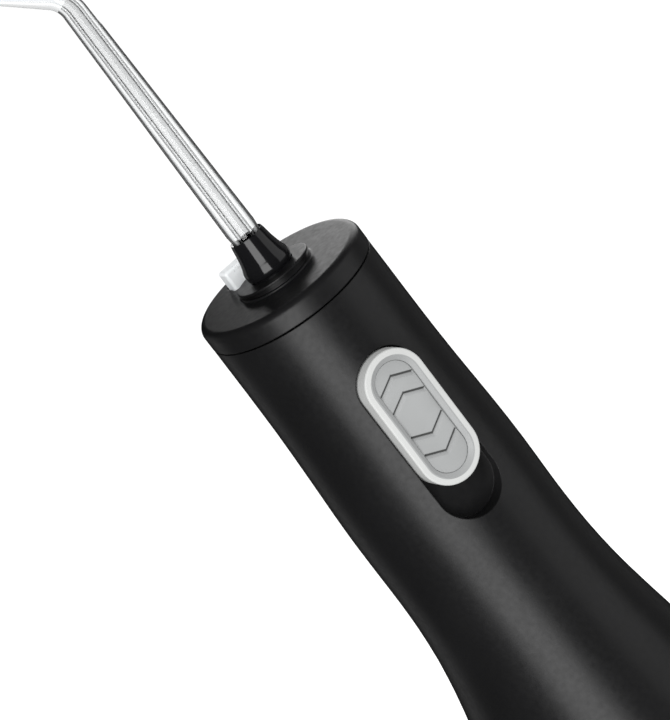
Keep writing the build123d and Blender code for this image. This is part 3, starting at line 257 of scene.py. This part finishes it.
BLACK = (0.0055, 0.0055, 0.0058)
RIM_GREY = (0.36, 0.365, 0.36)
PAD_GREY = (0.22, 0.225, 0.225)
MATERIALS = {
    "body_black": moulded("body_black", BLACK, 0.37, grain=2400, grain_depth=0.008, spec=0.3),
    "knob_black": moulded(
        "knob_black", (0.005, 0.005, 0.0055), 0.11, grain=500, grain_depth=0.0015, edge=0.1, spec=0.45
    ),
    "tank_smoke": clear("tank_smoke", (0.030, 0.030, 0.034), 0.14, 0.45),
    "rim_grey": moulded("rim_grey", RIM_GREY, 0.4, grain_depth=0.008, wear=1.1),
    # the pad's steep groove walls get painted shade, at 0.16 of its grey
    "pad_grey": moulded("pad_grey", PAD_GREY, 0.45, grain_depth=0.012, wear=1.15, shade=0.16),
    # the tip, its bore and its nozzle get painted dark edges through rim and veil
    "clear_tip": clear("clear_tip", (0.92, 0.935, 0.94), 0.02, 1.0, rim=0.05, veil=0.12),
    "clear_nozzle": clear("clear_nozzle", (0.94, 0.95, 0.955), 0.02, 1.0, rim=0.62),
    "clear_bore": clear("clear_bore", (0.68, 0.68, 0.68), 0.01, 1.0, rim=0.06, veil=0.3),
    "button_white": clear("button_white", (0.80, 0.82, 0.83), 0.35, 0.25),
    "ring_blue": moulded("ring_blue", (0.06, 0.20, 0.55), 0.3),
    "rubber_black": moulded("rubber_black", (0.018, 0.018, 0.018), 0.75, grain=1500, grain_depth=0.03),
    "silicone_grey": moulded("silicone_grey", (0.22, 0.23, 0.24), 0.6, grain=1500),
    "frame_white": moulded("frame_white", (0.66, 0.65, 0.60), 0.5, wear=1.15),
    "gear_nylon": moulded("gear_nylon", (0.78, 0.75, 0.64), 0.45, wear=1.1),
    "pinion_brass": metal("pinion_brass", (0.80, 0.60, 0.28), 0.3),
    "steel": metal("steel", (0.62, 0.62, 0.64), 0.3),
    "spring_steel": metal("spring_steel", (0.55, 0.55, 0.57), 0.25, (1, 1, 1)),
    "screw_steel": metal("screw_steel", (0.70, 0.71, 0.74), 0.22, (1, 1, 1)),
    "magnet": metal("magnet", (0.28, 0.28, 0.30), 0.45, (1, 1, 1)),
    "copper": metal("copper", (0.76, 0.36, 0.20), 0.35, (1, 1, 60)),
    "board_green": moulded("board_green", (0.02, 0.18, 0.07), 0.35, grain=1200),
    "part_black": moulded("part_black", (0.02, 0.02, 0.021), 0.5),
    "glass_reed": clear("glass_reed", (0.80, 0.92, 0.86), 0.05, 0.9),
    "cell_sleeve": moulded("cell_sleeve", (0.34, 0.36, 0.40), 0.3),
    "hose_clear": clear("hose_clear", (0.86, 0.88, 0.86), 0.25, 0.6),
    "wire_red": moulded("wire_red", (0.45, 0.03, 0.02), 0.45),
}


def paint(piece, slot):
    """Gives a piece one slot's material."""
    piece.data.materials.clear()
    piece.data.materials.append(MATERIALS[slot])


for part in frame["record"]["subparts"]:
    paint(NODES[part["node"]], part["material_slot"])

# ---------------------------------------------------------------- pieces made here
SHARP_ANGLE = math.radians(40)  # an edge that turns further than this is shaded sharp


def new_piece(name, vertices, faces, slot):
    """A closed mesh object in one slot's material, smooth except at its sharp edges."""
    mesh = bpy.data.meshes.new(name)
    mesh.from_pydata(vertices, [], faces)
    piece = bpy.data.objects.new(name, mesh)
    bpy.context.scene.collection.objects.link(piece)
    mesh.polygons.foreach_set("use_smooth", [True] * len(mesh.polygons))
    shape = bmesh.new()
    shape.from_mesh(mesh)
    bmesh.ops.recalc_face_normals(shape, faces=shape.faces)
    for edge in shape.edges:
        edge.smooth = edge.calc_face_angle(0) < SHARP_ANGLE
    shape.to_mesh(mesh)
    shape.free()
    paint(piece, slot)
    return piece


# ---------------------------------------------------------------- slide switch
RIM_BAND = 1.2  # millimetres, like every length in this section
DISH_RADIUS = 60.0
DISH_DEPTH = 0.5
DISH_DROP = 1.0  # the dish's middle lies this far below the pad's middle
FACE_RADIUS = 60.0
ARROWS = ((9.75, -1.9), (5.65, -1.9), (-4.05, 1.9), (-8.35, 1.9))  # apex height, fall to the ends
ARROW_HALF_WIDTH = 3.85
ARROW_WALL = 0.40  # how wide the groove's steep upper wall is
ARROW_RAMP = 0.70  # and its gentle lower one
ARROW_DEPTH = 0.42
PAD_ROWS = 330
PAD_COLUMNS = 90


def colour_inside_rim():
    """Colours the slope inside the switch's rim like the pad. The rim itself keeps its own colour."""
    low, high = (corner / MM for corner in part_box("switch_frame"))
    half_width = (high.x - low.x) / 2
    half_run = (high.z - low.z) / 2 - half_width
    r = Recipe("switch_rim")
    apart = r.node("ShaderNodeSeparateXYZ")
    r.link(r.place, apart.inputs["Vector"])

    def reckon(operation, first, second):
        """One step of arithmetic, on outputs or numbers."""
        step = r.node("ShaderNodeMath", operation=operation)
        for socket, value in zip(step.inputs, (first, second)):
            if isinstance(value, float):
                socket.default_value = value
            else:
                r.link(value, socket)
        return step.outputs["Value"]

    side = reckon("SUBTRACT", apart.outputs["X"], (high.x + low.x) / 2 * MM)
    rise = reckon("SUBTRACT", apart.outputs["Z"], (high.z + low.z) / 2 * MM)
    past = reckon("MAXIMUM", reckon("SUBTRACT", reckon("ABSOLUTE", rise, 0.0), half_run * MM), 0.0)
    away = reckon("SQRT", reckon("ADD", reckon("POWER", side, 2.0), reckon("POWER", past, 2.0)), 0.0)
    inner = (half_width - RIM_BAND) * MM
    mask = r.span(away, inner - 0.05 * MM, inner + 0.05 * MM, 1.0, 0.0)
    mottle = r.spread(r.noise(60, 3), 0, 1)
    rim = r.mix(mottle, scaled(RIM_GREY, 0.95), scaled(RIM_GREY, 1.05))
    slope = r.mix(mottle, scaled(PAD_GREY, 0.95), scaled(PAD_GREY, 1.05))
    normal = r.edges(0.25 * MM)[0]
    r.link(r.mix(mask, rim, slope), r.shader.inputs["Base Color"])
    r.link(r.spread(r.noise(900, 4), 0.36, 0.46), r.shader.inputs["Roughness"])
    r.link(r.bump(r.noise(2600, 3, roughness=0.6), 0.5, 0.008 * MM, normal), r.shader.inputs["Normal"])
    NODES["switch_frame"].data.materials[0] = r.material


def groove(side, rise):
    """How deep the arrows' grooves are here, and how much here is steep upper wall, which is given
    painted shade. Both are 1 at most.
    """
    depth = shade = 0.0
    for apex, fall in ARROWS:
        run = Vector((ARROW_HALF_WIDTH, fall))
        here = Vector((abs(side), rise - apex))
        along = min(max(here.dot(run) / run.length_squared, 0), 1)
        off = here - run * along
        wide = ARROW_WALL if off.y > 0 else ARROW_RAMP
        depth = max(depth, 1 - off.length / wide)
        shade = max(shade, 1 - abs(off.y - ARROW_WALL / 2) / ARROW_WALL - abs(off.x) / ARROW_WALL)
    return depth, shade


def make_pad():
    """The pad's crowned and dished face, with two arrows up and two down cut in as V grooves."""
    low, high = (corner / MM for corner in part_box("switch_pad"))
    middle_x, middle_z = (high.x + low.x) / 2, (high.z + low.z) / 2
    half_width = (high.x - low.x) / 2
    half_run = (high.z - low.z) / 2 - half_width
    half_length = half_width + half_run - 0.01  # so that the end rows keep some width
    vertices, faces, shades = [], [], []
    for row in range(PAD_ROWS + 1):
        rise = half_length * math.sin(math.pi * (row / PAD_ROWS - 0.5))
        past = max(abs(rise) - half_run, 0)
        reach = math.sqrt(half_width**2 - past**2)
        dish = DISH_RADIUS - math.sqrt(DISH_RADIUS**2 - (rise + DISH_DROP) ** 2)
        for column in range(PAD_COLUMNS + 1):
            side = reach * (2 * column / PAD_COLUMNS - 1)
            crown = FACE_RADIUS - math.sqrt(FACE_RADIUS**2 - side**2)
            depth, shade = groove(side, rise)
            drop = max(crown, DISH_DEPTH - dish) + ARROW_DEPTH * depth
            shades.append(shade)
            vertices.append(Vector((middle_x + side, low.y + drop, middle_z + rise)) * MM)
    wide = PAD_COLUMNS + 1
    for row in range(PAD_ROWS):
        for column in range(PAD_COLUMNS):
            corner = row * wide + column
            faces.append((corner, corner + 1, corner + 1 + wide, corner + wide))
    back = len(vertices)
    for row in range(PAD_ROWS + 1):
        for column in (0, PAD_COLUMNS):
            front = vertices[row * wide + column]
            vertices.append(Vector((front.x, high.y * MM, front.z)))
    for row in range(PAD_ROWS):
        left, right, up = row * wide, row * wide + PAD_COLUMNS, back + 2 * row
        faces += [
            (left, left + wide, up + 2, up),
            (right, up + 1, up + 3, right + wide),
            (up, up + 2, up + 3, up + 1),
        ]
    for row in (0, PAD_ROWS):
        faces.append(tuple(range(row * wide, row * wide + wide)) + (back + 2 * row + 1, back + 2 * row))
    piece = new_piece("switch_pad_face", vertices, faces, "pad_grey")
    # the steep groove walls' painted shade rides on the mesh as its shade attribute
    shades += [0.0] * (len(vertices) - len(shades))
    piece.data.attributes.new("shade", "FLOAT", "POINT").data.foreach_set("value", shades)
    return piece


# ---------------------------------------------------------------- jet tip
TIP_FOOT = 194.0  # millimetres, like every length in this section
TIP_BEND_START = 269.0
TIP_BEND_RADIUS = 5.5
TIP_BEND = math.radians(60)
TIP_HEADING = math.radians(136)  # which way the nozzle leans, from +X towards +Y
TIP_NOZZLE = 10.1
TIP_STRAIGHT = TIP_BEND_START - TIP_FOOT
TIP_ARC = TIP_BEND_RADIUS * TIP_BEND
TIP_LENGTH = TIP_STRAIGHT + TIP_ARC + TIP_NOZZLE
TIP_SIDES = 96
TIP_ROOT = 3.0  # radius of the root, which the knob hides
TIP_ROOT_END = 21.8  # how far up the tube leaves the knob
TIP_FOOT_RADIUS = 2.8
TIP_GROOVES = ((1.0, 2.0), (3.2, 4.8), (5.9, 7.1))  # for the seal, the coloured ring and the clip
TIP_GROOVE = 2.5
TIP_PLAIN = 7.4  # the root is plain from here up
TIP_INLET = 1.15  # radius of the bore's opening at the foot
TIP_LIP = 0.35  # how far the round mouth stands past the last straight ring
# distance along the tube, and the radius there
TIP_SKIN = (
    (TIP_ROOT_END, TIP_ROOT),
    (23.0, 3.2),
    (TIP_STRAIGHT, 2.45),
    (TIP_STRAIGHT + TIP_ARC, 2.10),
    (TIP_LENGTH, 1.15),
)
TIP_BORE = (
    (0, 1.0),
    (14.0, 1.2),
    (TIP_STRAIGHT, 1.05),
    (TIP_STRAIGHT + TIP_ARC, 0.85),
    (TIP_LENGTH, 0.45),
)


def tip_frame(run):
    """The centre of the tube, and its sideways direction in the bend's plane, after a run along it."""
    turn = min(max(run - TIP_STRAIGHT, 0) / TIP_BEND_RADIUS, TIP_BEND)
    rest = max(run - TIP_STRAIGHT - TIP_ARC, 0)
    reach = TIP_BEND_RADIUS * (1 - math.cos(turn)) + rest * math.sin(turn)
    rise = TIP_FOOT + min(run, TIP_STRAIGHT) + TIP_BEND_RADIUS * math.sin(turn) + rest * math.cos(turn)
    ahead = Vector((math.cos(TIP_HEADING), math.sin(TIP_HEADING), 0))
    centre = ahead * reach + Vector((0, 0, rise))
    return centre, ahead * math.cos(turn) - Vector((0, 0, math.sin(turn)))


def even(start, end, steps):
    """Numbers from start up to, but not including, end."""
    return [start + (end - start) * k / steps for k in range(steps)]


def between(value, table):
    """Reads a table of (place, number) rows at any place."""
    for (a, low), (b, high) in zip(table, table[1:]):
        if value <= b:
            return low + (high - low) * max(value - a, 0) / (b - a)
    return table[-1][1]


def make_tip():
    """The tapered clear tube: a skin with its grooves, a round mouth and a tapered bore."""
    # distance along the tube and radius, up the skin, over the mouth and back down the bore
    stations = [(0.0, TIP_FOOT_RADIUS), (0.2, TIP_ROOT)]
    for low, high in TIP_GROOVES:
        stations += [(low, TIP_ROOT), (low + 0.01, TIP_GROOVE)]
        stations += [(high - 0.01, TIP_GROOVE), (high, TIP_ROOT)]
    stations += [(run, TIP_ROOT) for run in even(TIP_PLAIN, TIP_ROOT_END, 8)]
    bend_end = TIP_STRAIGHT + TIP_ARC
    lip_run = TIP_LENGTH - TIP_LIP
    upper = even(TIP_ROOT_END, TIP_STRAIGHT, 30) + even(TIP_STRAIGHT, bend_end, 24)
    upper += even(bend_end, lip_run, 10)
    stations += [(run, between(run, TIP_SKIN)) for run in upper]
    middle = (between(lip_run, TIP_SKIN) + between(lip_run, TIP_BORE)) / 2
    half = (between(lip_run, TIP_SKIN) - between(lip_run, TIP_BORE)) / 2
    for k in range(7):
        angle = math.pi * k / 6
        stations.append((lip_run + TIP_LIP * math.sin(angle), middle + half * math.cos(angle)))
    stations += [(run, between(run, TIP_BORE)) for run in reversed(upper)]
    stations += [(run, between(run, TIP_BORE)) for run in (14.0, 7.0, 0.3)] + [(0.0, TIP_INLET)]
    vertices, faces = [], []
    across = Vector((-math.sin(TIP_HEADING), math.cos(TIP_HEADING), 0))
    for run, radius in stations:
        centre, side = tip_frame(run)
        for k in range(TIP_SIDES):
            angle = 2 * math.pi * k / TIP_SIDES
            vertices.append((centre + (side * math.cos(angle) + across * math.sin(angle)) * radius) * MM)
    mouth = max(range(len(stations)), key=lambda row: stations[row][0])
    for row in range(len(stations)):
        after = (row + 1) % len(stations)
        for k in range(TIP_SIDES):
            beside = (k + 1) % TIP_SIDES
            ring, up = row * TIP_SIDES, after * TIP_SIDES
            faces.append((ring + k, ring + beside, up + beside, up + k))
    piece = new_piece("tip_tube", vertices, faces, "clear_tip")
    for finish in ("clear_bore", "clear_nozzle"):
        piece.data.materials.append(MATERIALS[finish])
    for face in piece.data.polygons:
        row = face.index // TIP_SIDES
        if stations[row][0] > TIP_STRAIGHT + TIP_ARC / 2:
            face.material_index = 2
        elif mouth <= row < len(stations) - 1:
            face.material_index = 1
    return piece


def make_spring(node):
    """A copy of a CAD coil spring in spring steel, carried by the handle in place of the CAD piece."""
    piece = bpy.data.objects.new(node + "_coil", NODES[node].data.copy())
    bpy.context.scene.collection.objects.link(piece)
    paint(piece, "spring_steel")
    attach(piece, "handle")
    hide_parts(node)
    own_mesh(piece)


make_spring("eject_spring")
make_spring("latch_spring")
colour_inside_rim()
pad_face = make_pad()
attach(pad_face, "slide_switch")
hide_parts("switch_pad")
tip_tube = make_tip()
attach(tip_tube, "tip")
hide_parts("jet_tip")

# ---------------------------------------------------------------- studio
scene = bpy.context.scene
scene.view_settings.view_transform = "Standard"
SUBJECT = Vector((0, 0, 0.165))  # what the softboxes face
FLOOR_RADIUS = 12  # metres
# name, azimuth and elevation in degrees, distance and (width, height) in metres, radiance
SOFTBOXES = (
    ("key", -32.8, -3, 1.2, (0.85, 1.55), 4.5),  # the band down the front of the body
    ("side", 57, -3, 1.2, (1.05, 1.55), 0.75),  # the weaker band on its right
    ("edge", -152, -8, 1.2, (0.5, 1.4), 0.26),
    ("rear", 118, 0, 1.2, (0.8, 1.5), 0.12),
    ("spine", 163.6, -28, 1.2, (0.3, 0.8), 1.2),
    ("back", 143, 22, 0.32, (0.21, 0.16), 2.5),  # the sheen on the cap's top
    ("top", -30, 62, 1.0, (0.9, 0.9), 1.6),
)


def seen_by(item, **kinds):
    """Chooses which kinds of ray (diffuse, glossy, transmission, shadow, camera) meet an item."""
    for kind, seen in kinds.items():
        setattr(item, "visible_" + kind, seen)


def make_floor():
    """A pale floor that takes shadows and shows through clear parts, but doesn't light the body."""
    bpy.ops.mesh.primitive_circle_add(vertices=128, radius=FLOOR_RADIUS, fill_type="NGON")
    floor = bpy.context.object
    floor.name = "floor"
    r = Recipe("floor_pale")
    r.link(
        r.mix(r.spread(r.noise(3, 3), 0, 1), (0.97, 0.97, 0.97), (0.985, 0.985, 0.985)),
        r.shader.inputs["Base Color"],
    )
    r.set(Roughness=0.8, Specular_IOR_Level=0.0)
    floor.data.materials.append(r.material)
    seen_by(floor, diffuse=False, glossy=False, shadow=False)


def soft_light(name, azimuth, elevation, distance, size, radiance):
    """A softbox that faces the object. Azimuth 0 is in front of the switch, and 90 is to its right.

    The camera doesn't see it, directly or through clear parts.
    """
    a, e = math.radians(azimuth), math.radians(elevation)
    out = Vector((math.sin(a) * math.cos(e), -math.cos(a) * math.cos(e), math.sin(e)))
    data = bpy.data.lights.new(name, "AREA")
    data.shape = "RECTANGLE"
    data.size, data.size_y = size
    data.energy = radiance * math.pi * size[0] * size[1]
    light = bpy.data.objects.new(name, data)
    scene.collection.objects.link(light)
    light.location = SUBJECT + out * distance
    light.rotation_mode = "QUATERNION"
    light.rotation_quaternion = (-out).to_track_quat("-Z", "Y")
    seen_by(light, camera=False, transmission=False)
    return light


def make_world():
    """Even, nearly white surroundings. Gloss comes only from the softboxes."""
    world = bpy.data.worlds.new("studio")
    world.use_nodes = True
    shade = world.node_tree.nodes["Background"]
    shade.inputs["Color"].default_value = (1.0, 1.0, 1.0, 1)
    shade.inputs["Strength"].default_value = 1.0
    world.cycles_visibility.glossy = False
    scene.world = world


make_floor()
make_world()
lights = {row[0]: soft_light(*row) for row in SOFTBOXES}
seen_by(lights["top"], glossy=False)
